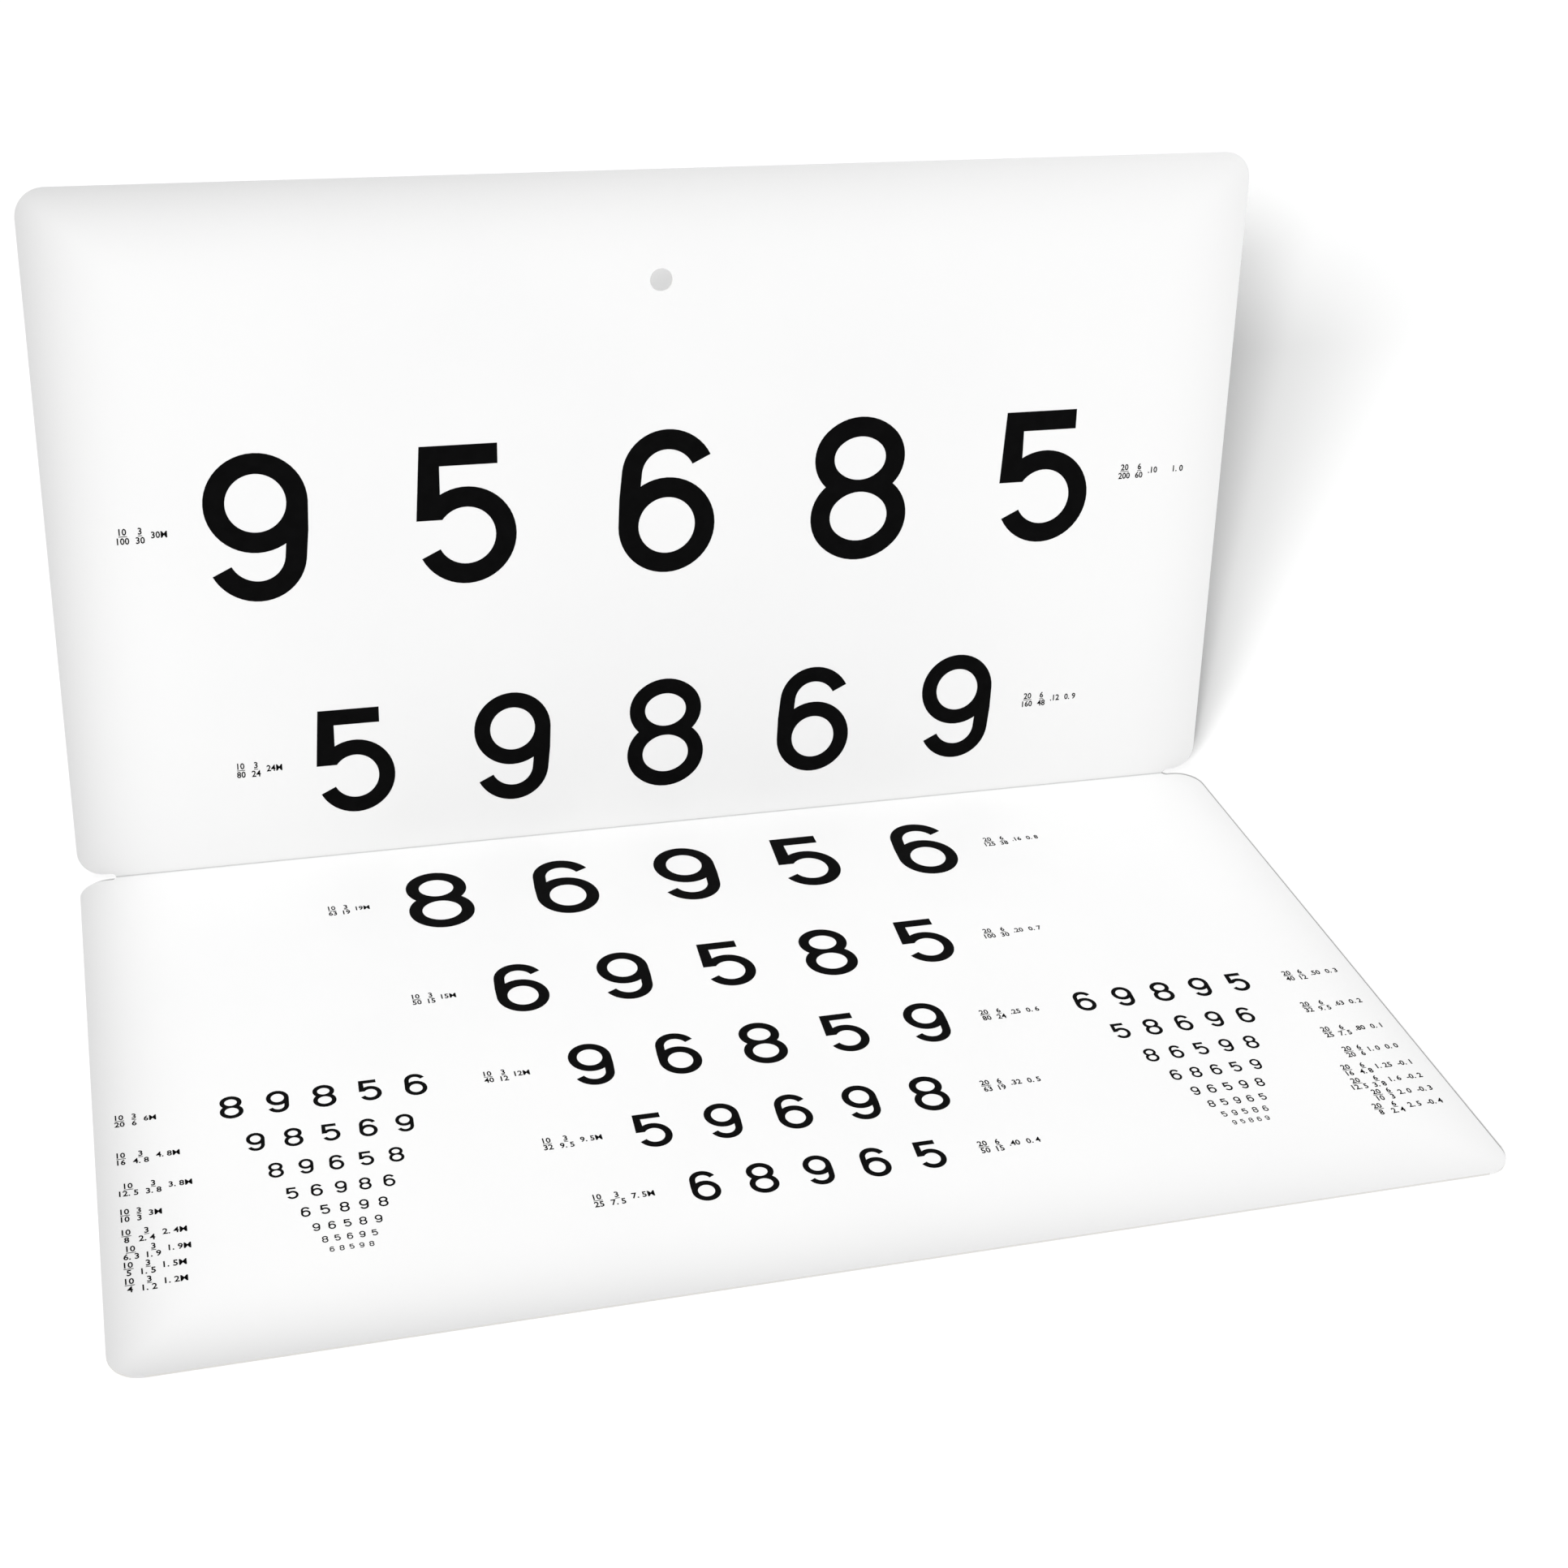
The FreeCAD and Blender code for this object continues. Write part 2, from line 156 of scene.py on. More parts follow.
class ChartPrintSettings(bpy.types.PropertyGroup):
    """Sizes of the printed rows and notes."""

    letter_height: FloatProperty(
        name="Letter Height", description="Height of the digits in the largest row",
        default=0.0567, min=0.01, max=0.1, unit="LENGTH")
    row_ratio: FloatProperty(
        name="Row Ratio", description="Height of a row as a share of the row above it",
        default=0.7943, min=0.5, max=0.95)
    row_gap: FloatProperty(
        name="Row Gap", description="Gap between two rows as a share of the smaller one's height",
        default=0.99, min=0.2, max=2)
    digit_pitch: FloatProperty(
        name="Digit Pitch", description="Spacing of the digits as a share of their height",
        default=1.36, min=0.8, max=2)
    upper_fold_margin: FloatProperty(
        name="Upper Fold Margin", description="Bare strip above the fold",
        default=0.0168, min=0, max=0.05, unit="LENGTH")
    lower_fold_margin: FloatProperty(
        name="Lower Fold Margin", description="Bare strip below the fold",
        default=0.0194, min=0, max=0.05, unit="LENGTH")
    print_offset: FloatProperty(
        name="Print Offset", description="How far the middle rows sit left of the sheet's middle",
        default=0.0014, min=0, max=0.01, unit="LENGTH")
    block_spacing: FloatProperty(
        name="Block Spacing", description="Distance between the two blocks of small rows",
        default=0.3063, min=0.2, max=0.4, unit="LENGTH")
    block_start: FloatProperty(
        name="Block Start",
        description="Distance from the fold to the middle of the first small row",
        default=0.1445, min=0.1, max=0.2, unit="LENGTH")
    note_height: FloatProperty(
        name="Note Height", description="Height of the figures in the notes",
        default=0.0026, min=0.001, max=0.006, unit="LENGTH")
    note_pitch: FloatProperty(
        name="Note Pitch", description="Least distance between two notes beside the small rows",
        default=0.0071, min=0.004, max=0.012, unit="LENGTH")
    note_gap: FloatProperty(
        name="Note Gap", description="Gap between two figures of a note",
        default=0.0023, min=0.001, max=0.006, unit="LENGTH")
    large_steps: IntProperty(
        name="Large Steps", description="Straight sides in a full turn of a large digit",
        default=48, min=12, max=128)
    small_steps: IntProperty(
        name="Small Steps", description="Straight sides in a full turn of a small digit",
        default=20, min=8, max=64)
    ink_thickness: FloatProperty(
        name="Ink Thickness", description="Height of the ink above the sheet",
        default=0.00006, min=0.00001, max=0.0005, precision=6, unit="LENGTH")


class ChartFinishSettings(bpy.types.PropertyGroup):
    """Colours of the sheet and the ink."""

    sheet_colour: FloatVectorProperty(
        name="Sheet", description="Colour of the white plastic", subtype="COLOR",
        default=(0.945, 0.945, 0.943), min=0, max=1)
    mottle_colour: FloatVectorProperty(
        name="Mottle", description="Colour of the faint cloudy patches", subtype="COLOR",
        default=(0.93, 0.93, 0.93), min=0, max=1)
    # Painted shade: the grey that the outer edges are blended towards, in place of shading there.
    painted_edge_shade_colour: FloatVectorProperty(
        name="Border",
        description="Colour of the plastic along the outer edges, greyed by shading",
        subtype="COLOR", default=(0.66, 0.66, 0.66), min=0, max=1)
    crease_colour: FloatVectorProperty(
        name="Crease", description="Colour of the plastic in the score", subtype="COLOR",
        default=(0.70, 0.76, 0.73), min=0, max=1)
    edge_colour: FloatVectorProperty(
        name="Cut Edge", description="Colour of the cut edges", subtype="COLOR",
        default=(0.66, 0.65, 0.62), min=0, max=1)
    ink_colour: FloatVectorProperty(
        name="Ink", description="Colour of the black ink", subtype="COLOR",
        default=(0.0025, 0.0025, 0.0026), min=0, max=1)


class ChartStageSettings(bpy.types.PropertyGroup):
    """The table top and the lamps."""

    floor_colour: FloatVectorProperty(
        name="Table Top", description="Colour of the table top", subtype="COLOR",
        default=(0.36, 0.36, 0.36), min=0, max=1)
    floor_size: FloatProperty(
        name="Table Top Size", description="Width of the table top", default=8, min=1, max=20,
        unit="LENGTH")
    key_strength: FloatProperty(
        name="Key Lamp", description="Strength of the high lamp at the front left",
        default=0.27, min=0, max=5)
    low_strength: FloatProperty(
        name="Low Lamp", description="Strength of the low lamp that lights the table top alone",
        default=3.2, min=0, max=10)
    left_strength: FloatProperty(
        name="Left Lamp", description="Strength of the softer low lamp, on the table top alone",
        default=2.7, min=0, max=10)
    room_light: FloatProperty(
        name="Room Light", description="Strength of the light from all round", default=0.79, min=0,
        max=2)


def deselect_all():
    bpy.ops.object.select_all(action="DESELECT")


def take(*pieces):
    """Selects the pieces alone, and makes the first one active."""
    deselect_all()
    for piece in pieces:
        piece.select_set(True)
    bpy.context.view_layer.objects.active = pieces[0]


def select_points(piece, wanted):
    """Selects, in edit mode, the points whose places pass the test."""
    bpy.ops.mesh.select_mode(type="VERT")
    points = bmesh.from_edit_mesh(piece.data)
    for vert in points.verts:
        vert.select = wanted(vert.co)
    points.select_flush_mode()
    bmesh.update_edit_mesh(piece.data)


def start_edge(name, x, y, width):
    """A new mesh in edit mode, of one edge as long as width, that ends at x, y on its right."""
    deselect_all()
    bpy.ops.mesh.primitive_plane_add(size=width, location=(x - width / 2, y + width / 2, 0))
    piece = bpy.context.object
    piece.name = name
    bpy.ops.object.transform_apply(location=True, rotation=False, scale=False)
    bpy.ops.object.mode_set(mode="EDIT")
    select_points(piece, lambda place: place.y > y + width / 2)
    bpy.ops.mesh.delete(type="VERT")
    bpy.ops.mesh.select_all(action="SELECT")
    return piece


def start_point(name, x, y):
    """A new mesh in edit mode, of one point."""
    piece = start_edge(name, x, y, STROKE)
    select_points(piece, lambda place: place.x < x - STROKE / 2)
    bpy.ops.mesh.delete(type="VERT")
    bpy.ops.mesh.select_all(action="SELECT")
    return piece


def sweep(x, y, degrees, steps):
    """Spins what is selected about x, y. An anticlockwise turn is positive."""
    bpy.ops.mesh.spin(
        steps=max(1, math.ceil(abs(degrees) / 360 * steps)), angle=-math.radians(degrees),
        center=(x, y, 0), axis=(0, 0, 1))


def make_solid(piece, low, high):
    """Closes the flat shape in edit mode to a solid between two heights, and leaves edit mode."""
    bpy.ops.mesh.select_all(action="SELECT")
    bpy.ops.mesh.remove_doubles(threshold=TINY)
    bpy.ops.mesh.select_all(action="SELECT")
    bpy.ops.transform.translate(value=(0, 0, low))
    bpy.ops.mesh.extrude_region_move(TRANSFORM_OT_translate={"value": (0, 0, high - low)})
    bpy.ops.mesh.select_all(action="SELECT")
    bpy.ops.mesh.normals_make_consistent(inside=False)
    bpy.ops.object.mode_set(mode="OBJECT")
    return piece


def fill_outline(piece, low, high):
    """Fills the round outline in edit mode, and makes it a solid between two heights."""
    bpy.ops.mesh.select_all(action="SELECT")
    bpy.ops.mesh.remove_doubles(threshold=TINY)
    bpy.ops.mesh.select_all(action="SELECT")
    bpy.ops.mesh.edge_face_add()
    return make_solid(piece, low, high)


def combine(piece, other, operation):
    """Joins another solid to the piece, or cuts it out."""
    take(piece)
    bpy.ops.object.modifier_add(type="BOOLEAN")
    boolean = piece.modifiers[-1]
    boolean.operation = operation
    boolean.object = other
    boolean.solver = "EXACT"
    bpy.ops.object.modifier_apply(modifier=boolean.name)
    bpy.data.objects.remove(other)
    return piece


def make_disc(name, y, radius, steps, low, high):
    """A round plug with its middle on the numeral's centre line."""
    piece = start_point(name, radius, y)
    sweep(0, y, 360, steps)
    return fill_outline(piece, low, high)


def make_oval(name, y, half_width, half_height, inset, steps, low, high):
    """A wide oval of four arcs, or the one that lies inset inside it."""
    side = half_height - EIGHT_SIDE_ROUNDING * (half_width - half_height)
    cap = (half_width ** 2 + half_height ** 2 - 2 * half_width * side) / (2 * (half_height - side))
    out = half_width - side
    down = cap - half_height
    meet = math.degrees(math.atan2(down, out))
    piece = start_point(name, half_width - inset, y)
    sweep(out, y, meet, steps)
    sweep(0, y - down, 180 - 2 * meet, steps)
    sweep(-out, y, 2 * meet, steps)
    sweep(0, y + down, 180 - 2 * meet, steps)
    sweep(out, y, meet, steps)
    return fill_outline(piece, low, high)


def make_nine(steps):
    """A round bowl with a curved back that ends in a tail."""
    hole_radius = BOWL_RADIUS - STROKE
    bowl = 0.5 - BOWL_RADIUS
    tail = BOWL_RADIUS - 0.5
    foot = BACK_FOOT_RADIUS - 0.5
    drop = bowl - foot
    back_radius = ((BOWL_RADIUS ** 2 + drop ** 2 - BACK_FOOT_RADIUS ** 2)
                   / (2 * (BOWL_RADIUS - BACK_FOOT_RADIUS)))
    back = BOWL_RADIUS - back_radius
    heel_angle = math.degrees(math.atan2(-drop, -back))
    nine = make_disc("nine", bowl, BOWL_RADIUS, steps, 0, 1)
    stroke = start_edge("nine_back", BOWL_RADIUS, bowl, STROKE)
    sweep(back, bowl, heel_angle, steps)
    sweep(0, foot, -90 - heel_angle, steps)
    sweep(0, tail, TAIL_ANGLE - 270, steps)
    combine(nine, make_solid(stroke, 0, 1), "UNION")
    return combine(nine, make_disc("nine_hole", bowl, hole_radius, steps, -1, 2), "DIFFERENCE")


def make_six(steps):
    """The 9 turned over."""
    six = make_nine(steps)
    six.name = "six"
    take(six)
    bpy.ops.transform.rotate(value=math.pi, orient_axis="Z", center_override=(0, 0, 0))
    bpy.ops.object.transform_apply()
    return six


def make_five(steps):
    """A flag and a straight stem on a round bowl that is open at the left."""
    hole_radius = BOWL_RADIUS - STROKE
    top = FIVE_HEIGHT / 2
    bowl = BOWL_RADIUS - top
    flag = top - STROKE
    foot = bowl + FIVE_STEM_FOOT
    join = bowl + math.sqrt(BOWL_RADIUS ** 2 - FIVE_STEM_RIGHT ** 2)
    foot_angle = 180 - math.degrees(math.asin(FIVE_STEM_FOOT / hole_radius))
    foot_right = hole_radius * math.cos(math.radians(foot_angle))

    five = start_edge("five", BOWL_RADIUS, bowl, STROKE)
    sweep(0, bowl, foot_angle, steps)
    select_points(five, lambda place: place.x > 0 and abs(place.y - bowl) < TINY)
    sweep(0, bowl, TAIL_ANGLE - 360, steps)
    make_solid(five, 0, 1)

    width = FIVE_STEM_LEFT - FIVE_STEM_RIGHT
    stem = start_edge("five_stem", -FIVE_STEM_RIGHT, foot, width)
    for rise in (join - foot, flag - join, top - flag):
        bpy.ops.mesh.extrude_region_move(TRANSFORM_OT_translate={"value": (0, rise, 0)})
    select_points(stem, lambda place: place.x > -FIVE_STEM_LEFT + TINY and place.y > flag - TINY)
    bpy.ops.mesh.extrude_region_move(
        TRANSFORM_OT_translate={"value": (FIVE_FLAG_RIGHT + FIVE_STEM_RIGHT, 0, 0)})
    select_points(stem, lambda place: place.x > -FIVE_STEM_LEFT + TINY and place.y < foot + TINY)
    bpy.ops.transform.translate(value=(foot_right + FIVE_STEM_RIGHT, 0, 0))
    for height in (join, flag, top):
        select_points(stem, lambda place: place.x < -FIVE_STEM_LEFT + TINY
                      and abs(place.y - height) < TINY)
        bpy.ops.transform.translate(value=(FIVE_STEM_SLANT * (height - foot) / (top - foot), 0, 0))
    return combine(five, make_solid(stem, 0, 1), "UNION")


def make_eight(steps):
    """Two joined loops, the lower one a little larger."""
    eight, lower = (make_oval("eight", *loop, 0, steps, 0, 1) for loop in EIGHT_LOOPS)
    combine(eight, lower, "UNION")
    for loop in EIGHT_LOOPS:
        combine(eight, make_oval("eight_hole", *loop, STROKE, steps, -1, 2), "DIFFERENCE")
    return eight


def make_numerals(steps):
    """The four numerals of the chart, one unit high and one unit thick."""
    return {"5": make_five(steps), "6": make_six(steps), "8": make_eight(steps),
            "9": make_nine(steps)}


def remove_numerals(numerals):
    for master in numerals.values():
        bpy.data.objects.remove(master)


def sheet_thickness():
    """The lower panel's digits start on its top face."""
    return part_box("lower_digits")[0].z


def lean_angle():
    """Lean of the upper panel in degrees, from the hanging hole that goes straight through it."""
    hole = next(mount for mount in frame["record"]["mounts"] if mount["name"] == "hanging_hole")
    across, up = hole["axis"][1:]
    return math.degrees(math.atan2(up, -across))


def panel_place(upright):
    """The matrix from chart coordinates to the lower or the upper panel's printed face."""
    place = Matrix.Translation((0, FOLD_Y, sheet_thickness()))
    if upright:
        place = place @ Matrix.Rotation(math.radians(90 - lean_angle()), 4, "X")
    return place


def row_height(settings, row):
    return settings.letter_height * settings.row_ratio ** row


def stack_rows(settings, rows, edge, direction):
    """Chart heights of the middles of stacked rows, that start at an edge."""
    middles = {}
    previous = None
    for row in rows:
        height = row_height(settings, row)
        if previous is not None:
            edge += settings.row_gap * min(height, previous)
        middles[row] = direction * (edge + height / 2)
        edge += height
        previous = height
    return middles


def row_middles(settings):
    """Chart height of the middle of every row, by its number."""
    upper = range(len(UPPER_ROWS) - 1, -1, -1)
    lower = range(len(UPPER_ROWS), FIRST_BLOCK_ROW)
    blocks = range(FIRST_BLOCK_ROW, len(LETTER_SIZES))
    middles = stack_rows(settings, upper, settings.upper_fold_margin, 1)
    middles.update(stack_rows(settings, lower, settings.lower_fold_margin, -1))
    block_edge = settings.block_start - row_height(settings, FIRST_BLOCK_ROW) / 2
    middles.update(stack_rows(settings, blocks, block_edge, -1))
    return middles


def copy_of(master):
    twin = master.copy()
    twin.data = master.data.copy()
    bpy.context.scene.collection.objects.link(twin)
    return twin


def join_pieces(name, pieces):
    """Joins the pieces to one, with its place in its mesh."""
    take(*pieces)
    bpy.ops.object.transform_apply()
    bpy.ops.object.join()
    joined = bpy.context.object
    joined.name = name
    joined.data.name = name
    return joined


def print_rows(name, numerals, rows, first_row, middle_x, upright):
    """The digits of a stack of rows, as one piece of ink."""
    settings = bpy.context.scene.chart_print
    middles = row_middles(settings)
    panel = panel_place(upright)
    digits = []
    for row, text in enumerate(rows, start=first_row):
        height = row_height(settings, row)
        for place, digit in enumerate(text):
            x = middle_x + (place - (len(text) - 1) / 2) * settings.digit_pitch * height
            twin = copy_of(numerals[digit])
            twin.matrix_world = (
                panel @ Matrix.Translation((x, middles[row], 0))
                @ Matrix.Diagonal((height, height, settings.ink_thickness, 1)))
            digits.append(twin)
    return join_pieces(name, digits)


def print_figure(text):
    """One figure of a note, with its middle at the origin and standing on its flat back."""
    settings = bpy.context.scene.chart_print
    deselect_all()
    bpy.ops.object.text_add()
    figure = bpy.context.object
    figure.data.body = text[0] + text[1:].replace(".", ". ")
    figure.data.align_x = "CENTER"
    figure.data.resolution_u = 2
    figure.data.offset = FIGURE_BOLDNESS
    figure.data.extrude = 0.5
    bpy.ops.object.convert(target="MESH")
    bpy.ops.object.mode_set(mode="EDIT")
    bpy.ops.mesh.select_all(action="SELECT")
    bpy.ops.mesh.remove_doubles(threshold=TINY)
    bpy.ops.object.mode_set(mode="OBJECT")
    places = [point.co for point in figure.data.vertices]
    low = Vector(min(place[axis] for place in places) for axis in range(3))
    high = Vector(max(place[axis] for place in places) for axis in range(3))
    scale = settings.note_height / (high.y - low.y)
    middle = (low + high) / 2
    figure.data.transform(
        Matrix.Diagonal((FIGURE_WIDTH * scale, scale, settings.ink_thickness, 1))
        @ Matrix.Translation((-middle.x, -middle.y, -low.z)))
    width = FIGURE_WIDTH * scale * (high.x - low.x)
    return figure, width


def print_bar(width):
    """The bar of a fraction."""
    settings = bpy.context.scene.chart_print
    thickness = settings.note_height * BAR_THICKNESS
    bar = start_edge("bar", width / 2, -thickness / 2, width)
    bpy.ops.mesh.extrude_region_move(TRANSFORM_OT_translate={"value": (0, thickness, 0)})
    bpy.ops.mesh.select_all(action="SELECT")
    bpy.ops.mesh.extrude_region_move(
        TRANSFORM_OT_translate={"value": (0, 0, settings.ink_thickness)})
    bpy.ops.mesh.select_all(action="SELECT")
    bpy.ops.mesh.normals_make_consistent(inside=False)
    bpy.ops.object.mode_set(mode="OBJECT")
    return bar


def print_note(entries, start, middle, panel, from_right=False):
    """A row of figures and fractions along a line. A fraction is a pair, and None is a gap."""
    settings = bpy.context.scene.chart_print
    shift = settings.note_height * FRACTION_SHIFT
    parts = []
    cursor = start
    direction = -1 if from_right else 1
    for entry in (reversed(entries) if from_right else entries):
        if entry is None:
            cursor += direction * settings.note_gap
            continue
        if isinstance(entry, str):
            stack = [(*print_figure(entry), 0)]
        else:
            stack = [(*print_figure(entry[0]), shift), (*print_figure(entry[1]), -shift)]
        width = max(part[1] for part in stack)
        if not isinstance(entry, str):
            stack.append((print_bar(stack[0][1] * BAR_LENGTH), width, 0))
        x = cursor + direction * width / 2
        for part, _, rise in stack:
            part.matrix_world = panel @ Matrix.Translation((x, middle + rise, 0))
            parts.append(part)
        cursor += direction * (width + settings.note_gap)
    return parts


def left_entries(row):
    return [("10", TEN_FOOT_SIZES[row]), ("3", LETTER_SIZES[row]), LETTER_SIZES[row] + "M"]


def right_entries(row):
    spread = [None, None] if row == 0 else []
    return [("20", TWENTY_FOOT_SIZES[row]), ("6", SIX_METRE_SIZES[row]), DECIMAL_SIZES[row],
            *spread, LOG_SIZES[row]]


def new_material(name):
    material = bpy.data.materials.new(name)
    material.use_nodes = True
    return material, material.node_tree.nodes, material.node_tree.links


def noise(nodes, links, position, scale, detail):
    texture = nodes.new("ShaderNodeTexNoise")
    texture.inputs["Scale"].default_value = scale
    texture.inputs["Detail"].default_value = detail
    links.new(position, texture.inputs["Vector"])
    return texture.outputs["Fac"]


def map_range(nodes, links, value, from_low, from_high, to_low, to_high, smooth=False):
    mapped = nodes.new("ShaderNodeMapRange")
    mapped.interpolation_type = "SMOOTHSTEP" if smooth else "LINEAR"
    for socket, number in (("From Min", from_low), ("From Max", from_high),
                           ("To Min", to_low), ("To Max", to_high)):
        mapped.inputs[socket].default_value = number
    links.new(value, mapped.inputs["Value"])
    return mapped.outputs["Result"]


def mix_colours(nodes, links, factor, first, second):
    """Blends two colours, each of them a plain colour or another node's output."""
    mix = nodes.new("ShaderNodeMix")
    mix.data_type = "RGBA"
    links.new(factor, mix.inputs[0])
    for socket, colour in ((mix.inputs[6], first), (mix.inputs[7], second)):
        if isinstance(colour, bpy.types.NodeSocket):
            links.new(colour, socket)
        else:
            socket.default_value = (*colour, 1)
    return mix.outputs[2]


def calculate(nodes, links, operation, *values):
    """A sum on numbers and other nodes' outputs."""
    node = nodes.new("ShaderNodeMath")
    node.operation = operation
    for socket, value in zip(node.inputs, values):
        if isinstance(value, bpy.types.NodeSocket):
            links.new(value, socket)
        else:
            socket.default_value = value
    return node.outputs[0]


def distance_to_line(nodes, links, position, y, z):
    """Distance from a line along the sheet's width."""
    offset = nodes.new("ShaderNodeVectorMath")
    offset.operation = "SUBTRACT"
    offset.inputs[1].default_value = (0, y, z)
    links.new(position, offset.inputs[0])
    flat = nodes.new("ShaderNodeVectorMath")
    flat.operation = "MULTIPLY"
    flat.inputs[1].default_value = (0, 1, 1)
    links.new(offset.outputs[0], flat.inputs[0])
    length = nodes.new("ShaderNodeVectorMath")
    length.operation = "LENGTH"
    links.new(flat.outputs[0], length.inputs[0])
    return length.outputs["Value"]


def add_bump(nodes, links, shader, height, strength, distance):
    bump = nodes.new("ShaderNodeBump")
    bump.inputs["Strength"].default_value = strength
    bump.inputs["Distance"].default_value = distance
    links.new(height, bump.inputs["Height"])
    links.new(bump.outputs["Normal"], shader.inputs["Normal"])


def make_sheet_material(settings):
    """Satin white plastic, with a fine grain, cloudy patches, a dull score, dull cut edges and
    painted shade greying the outer edges.
    """
    material, nodes, links = new_material("satin_sheet")
    shader = nodes["Principled BSDF"]
    position = nodes.new("ShaderNodeTexCoord").outputs["Object"]
    patches = noise(nodes, links, position, scale=9, detail=3)
    patch_share = map_range(nodes, links, patches, 0.35, 0.7, 0, 1, smooth=True)
    body = mix_colours(nodes, links, patch_share, settings.sheet_colour, settings.mottle_colour)

    place = nodes.new("ShaderNodeSeparateXYZ")
    links.new(position, place.inputs[0])
    fold = distance_to_line(nodes, links, position, FOLD_Y, sheet_thickness())
    # Painted shade: the colour turns greyer towards the outer edges, more at the left than the
    # right, in place of shading there.
    from_side = calculate(nodes, links, "SUBTRACT", HALF_WIDTH,
                          calculate(nodes, links, "ABSOLUTE", place.outputs["X"]))
    from_end = calculate(nodes, links, "SUBTRACT", 2 * FOLD_Y, fold)
    from_outline = calculate(nodes, links, "SMOOTH_MIN", from_side, from_end, EDGE_SHADE_BLEND)
    nearness = map_range(nodes, links, from_outline, 0, EDGE_SHADE_WIDTH, 1, 0)
    inward = calculate(nodes, links, "POWER", nearness, EDGE_SHADE_FADING)
    across = map_range(nodes, links, place.outputs["X"], -HALF_WIDTH, HALF_WIDTH,
                       LEFT_EDGE_SHADE_SHARE, RIGHT_EDGE_SHADE_SHARE)
    edge_shade_share = calculate(nodes, links, "MULTIPLY", inward, across)
    edge_shaded = mix_colours(nodes, links, edge_shade_share, body, settings.painted_edge_shade_colour)

    crease_share = map_range(nodes, links, fold, *CREASE_FADE, CREASE_SHARE, 0, smooth=True)
    creased = mix_colours(nodes, links, crease_share, edge_shaded, settings.crease_colour)

    normal = nodes.new("ShaderNodeTexCoord").outputs["Normal"]
    parts = nodes.new("ShaderNodeSeparateXYZ")
    links.new(normal, parts.inputs[0])
    sideways = calculate(nodes, links, "ABSOLUTE", parts.outputs["X"])
    side_share = map_range(nodes, links, sideways, 0.2, 0.5, 0, EDGE_SHARE)
    edged = mix_colours(nodes, links, side_share, creased, settings.edge_colour)
    front_share = map_range(nodes, links, parts.outputs["Y"], -0.999, -0.9995, 0, EDGE_SHARE)
    links.new(mix_colours(nodes, links, front_share, edged, settings.edge_colour),
              shader.inputs["Base Color"])

    gloss = noise(nodes, links, position, scale=60, detail=4)
    links.new(map_range(nodes, links, gloss, 0.3, 0.7, 0.42, 0.54), shader.inputs["Roughness"])
    grain = noise(nodes, links, position, scale=1800, detail=2)
    add_bump(nodes, links, shader, grain, strength=0.12, distance=0.00005)
    shader.inputs["IOR"].default_value = 1.46
    return material


def make_ink_material(settings):
    """Matte black printing ink, with a faint unevenness of colour and sheen."""
    material, nodes, links = new_material("matte_ink")
    shader = nodes["Principled BSDF"]
    position = nodes.new("ShaderNodeTexCoord").outputs["Object"]
    cover = noise(nodes, links, position, scale=220, detail=4)
    thin = [min(1, channel * THIN_INK) for channel in settings.ink_colour]
    share = map_range(nodes, links, cover, 0.35, 0.75, 0, 1)
    links.new(mix_colours(nodes, links, share, settings.ink_colour, thin),
              shader.inputs["Base Color"])
    links.new(map_range(nodes, links, cover, 0.3, 0.7, 0.55, 0.72), shader.inputs["Roughness"])
    grain = noise(nodes, links, position, scale=2400, detail=2)
    add_bump(nodes, links, shader, grain, strength=0.15, distance=0.00003)
    shader.inputs["Specular IOR Level"].default_value = 0.02
    return material


def make_floor_material(settings):
    """Plain matte table top, with a faint unevenness."""
    material, nodes, links = new_material("table_top")
    shader = nodes["Principled BSDF"]
    position = nodes.new("ShaderNodeTexCoord").outputs["Object"]
    patches = noise(nodes, links, position, scale=2, detail=2)
    paler = [channel * 1.01 for channel in settings.floor_colour]
    links.new(mix_colours(nodes, links, patches, settings.floor_colour, paler),
              shader.inputs["Base Color"])
    shader.inputs["Roughness"].default_value = 0.9
    shader.inputs["Specular IOR Level"].default_value = 0.1
    return material


def make_room(settings):
    """Even light from all round, and a white background for the camera."""
    world = bpy.data.worlds.new("white_room")
    bpy.context.scene.world = world
    world.use_nodes = True
    nodes, links = world.node_tree.nodes, world.node_tree.links
    background = nodes["Background"]
    background.inputs["Color"].default_value = (1, 1, 1, 1)
    path = nodes.new("ShaderNodeLightPath")
    seen = path.outputs["Is Camera Ray"]
    for kind in ("Is Glossy Ray", "Is Transmission Ray"):
        seen = calculate(nodes, links, "MAXIMUM", seen, path.outputs[kind])
    strength = map_range(nodes, links, seen, 0, 1, settings.room_light, 1)
    links.new(strength, background.inputs["Strength"])


def add_lamp(name, turn, height, softness, strength, receivers=None):
    """A distant soft lamp, turned left from the front and raised above the table by its height."""
    place = Matrix.Rotation(math.radians(-turn), 3, "Z") @ Vector(
        (0, -math.cos(math.radians(height)), math.sin(math.radians(height))))
    deselect_all()
    bpy.ops.object.light_add(
        type="SUN", location=LAMP_DISTANCE * place,
        rotation=place.to_track_quat("Z", "Y").to_euler())
    lamp = bpy.context.object
    lamp.name = name
    lamp.data.angle = math.radians(softness)
    lamp.data.energy = strength * math.pi
    if receivers is not None:
        lamp.light_linking.receiver_collection = receivers


def finish_print(piece, *nodes):
    """Gives printed ink its finish and its body, and hides the CAD nodes that it stands for."""
    piece.data.materials.clear()
    piece.data.materials.append(bpy.data.materials["matte_ink"])
    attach(piece, "root")
    if nodes:
        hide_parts(*nodes)


